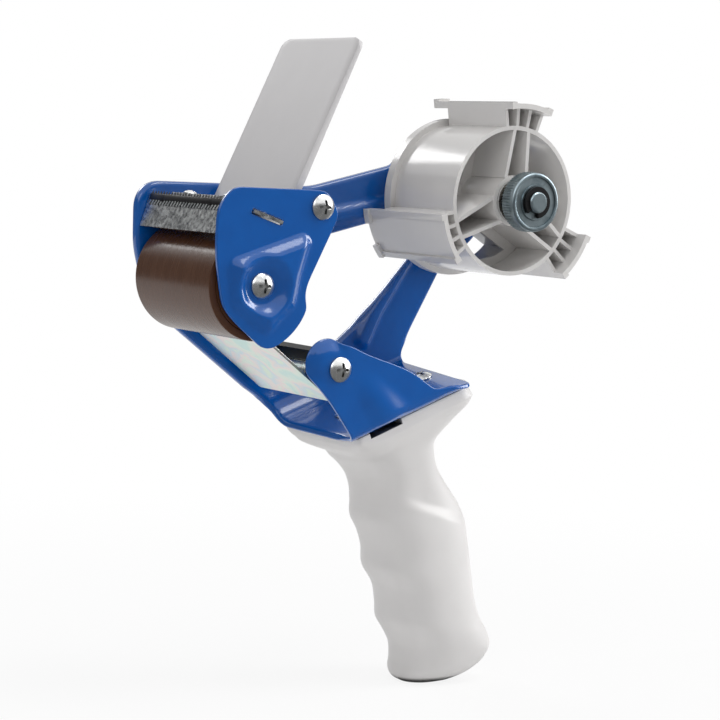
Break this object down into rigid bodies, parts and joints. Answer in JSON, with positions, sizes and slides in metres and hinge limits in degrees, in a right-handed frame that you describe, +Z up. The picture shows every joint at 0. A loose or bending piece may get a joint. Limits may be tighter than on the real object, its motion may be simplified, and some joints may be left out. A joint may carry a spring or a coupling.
{
  "type": "packing tape dispenser",
  "caption": "Hand-held packing tape dispenser: pistol grip, pressed steel frame, braked tape hub, roller, tape plate, toothed blade and flexible wiper flap.",
  "frame": {"origin": "on the axis of the tape core at the middle of the tape's width", "axes": "-Y along the core's axis towards the open side, where the tape roll is put on; -X forward to the blade; +Z up, in the attitude in which the picture shows it"},
  "size_m": [0.1747, 0.0705, 0.2461],
  "materials": {
    "blue_enamel": "gloss",
    "white_plastic": "satin",
    "plated_steel": "bright",
    "brown_roller": "satin",
    "zinc_sheet": "bright",
    "zinc_turned": "satin",
    "black_steel": "satin",
    "black_plastic": "gloss",
    "grey_flap": "satin",
    "spring_wire": "bright"
  },
  "bodies": {
    "root": {"main_frame": "blue_enamel", "head_cheek": "blue_enamel", "handle": "white_plastic", "handle_screws": "plated_steel", "pan_screws": "plated_steel", "spacer_rod": "plated_steel", "roller_axle": "plated_steel", "pivot_rod": "plated_steel", "blade_holder": "zinc_sheet", "blade": "black_steel", "blade_rivets": "black_steel", "clamp_bar": "zinc_sheet", "clamp_screws": "plated_steel", "flap_foot": "grey_flap", "plate_spring": "spring_wire", "hub_shaft": "plated_steel", "rear_washer": "black_plastic", "thrust_washer": "plated_steel", "brake_spring": "spring_wire", "retaining_clip": "black_steel", "shaft_nut": "plated_steel"},
    "hub": {"core_hub": "white_plastic"},
    "roller": {"roller_sleeve": "brown_roller", "roller_core": "brown_roller"},
    "flap": {"wiper_flap": "grey_flap"},
    "guide_plate": {"tape_plate": "zinc_sheet"},
    "hold_back_strip": {"hold_back": "black_plastic"},
    "brake_disc": {"brake_washer": "plated_steel"},
    "nut": {"brake_nut": "zinc_turned"}
  },
  "joints": [
    {"name": "hub_spin", "type": "hinge", "parent": "root", "child": "hub", "pos_m": [0, 0, 0], "axis": [0, -1, 0], "continuous": true},
    {"name": "roller_spin", "type": "hinge", "parent": "root", "child": "roller", "pos_m": [-0.118, 0, -0.0343], "axis": [0, -1, 0], "continuous": true},
    {"name": "flap_bend", "type": "hinge", "parent": "root", "child": "flap", "pos_m": [-0.1048, 0, -0.0045], "axis": [0, -1, 0], "range_deg": [-20, 20], "stiffness_Nm_per_rad": 0.25},
    {"name": "tape_plate_swing", "type": "hinge", "parent": "root", "child": "guide_plate", "pos_m": [-0.0828, 0, -0.0641], "axis": [0, -1, 0], "range_deg": [0, 10], "stiffness_Nm_per_rad": 0.1, "springref_deg": -17.19},
    {"name": "hold_back_swing", "type": "hinge", "parent": "root", "child": "hold_back_strip", "pos_m": [-0.0828, 0, -0.0641], "axis": [0, -1, 0], "range_deg": [-12, 12]},
    {"name": "brake_turn", "type": "hinge", "parent": "brake_disc", "child": "nut", "pos_m": [0, 0, 0], "axis": [0, 1, 0], "range_deg": [0, 360]},
    {"name": "brake_travel", "type": "slide", "parent": "root", "child": "brake_disc", "axis": [0, 1, 0], "range_m": [0, 0.00126], "deforming": ["brake_spring"]}
  ],
  "couplings": [
    {"joint": "brake_travel", "follows": "brake_turn", "m_per_rad": 0.00019894}
  ]
}
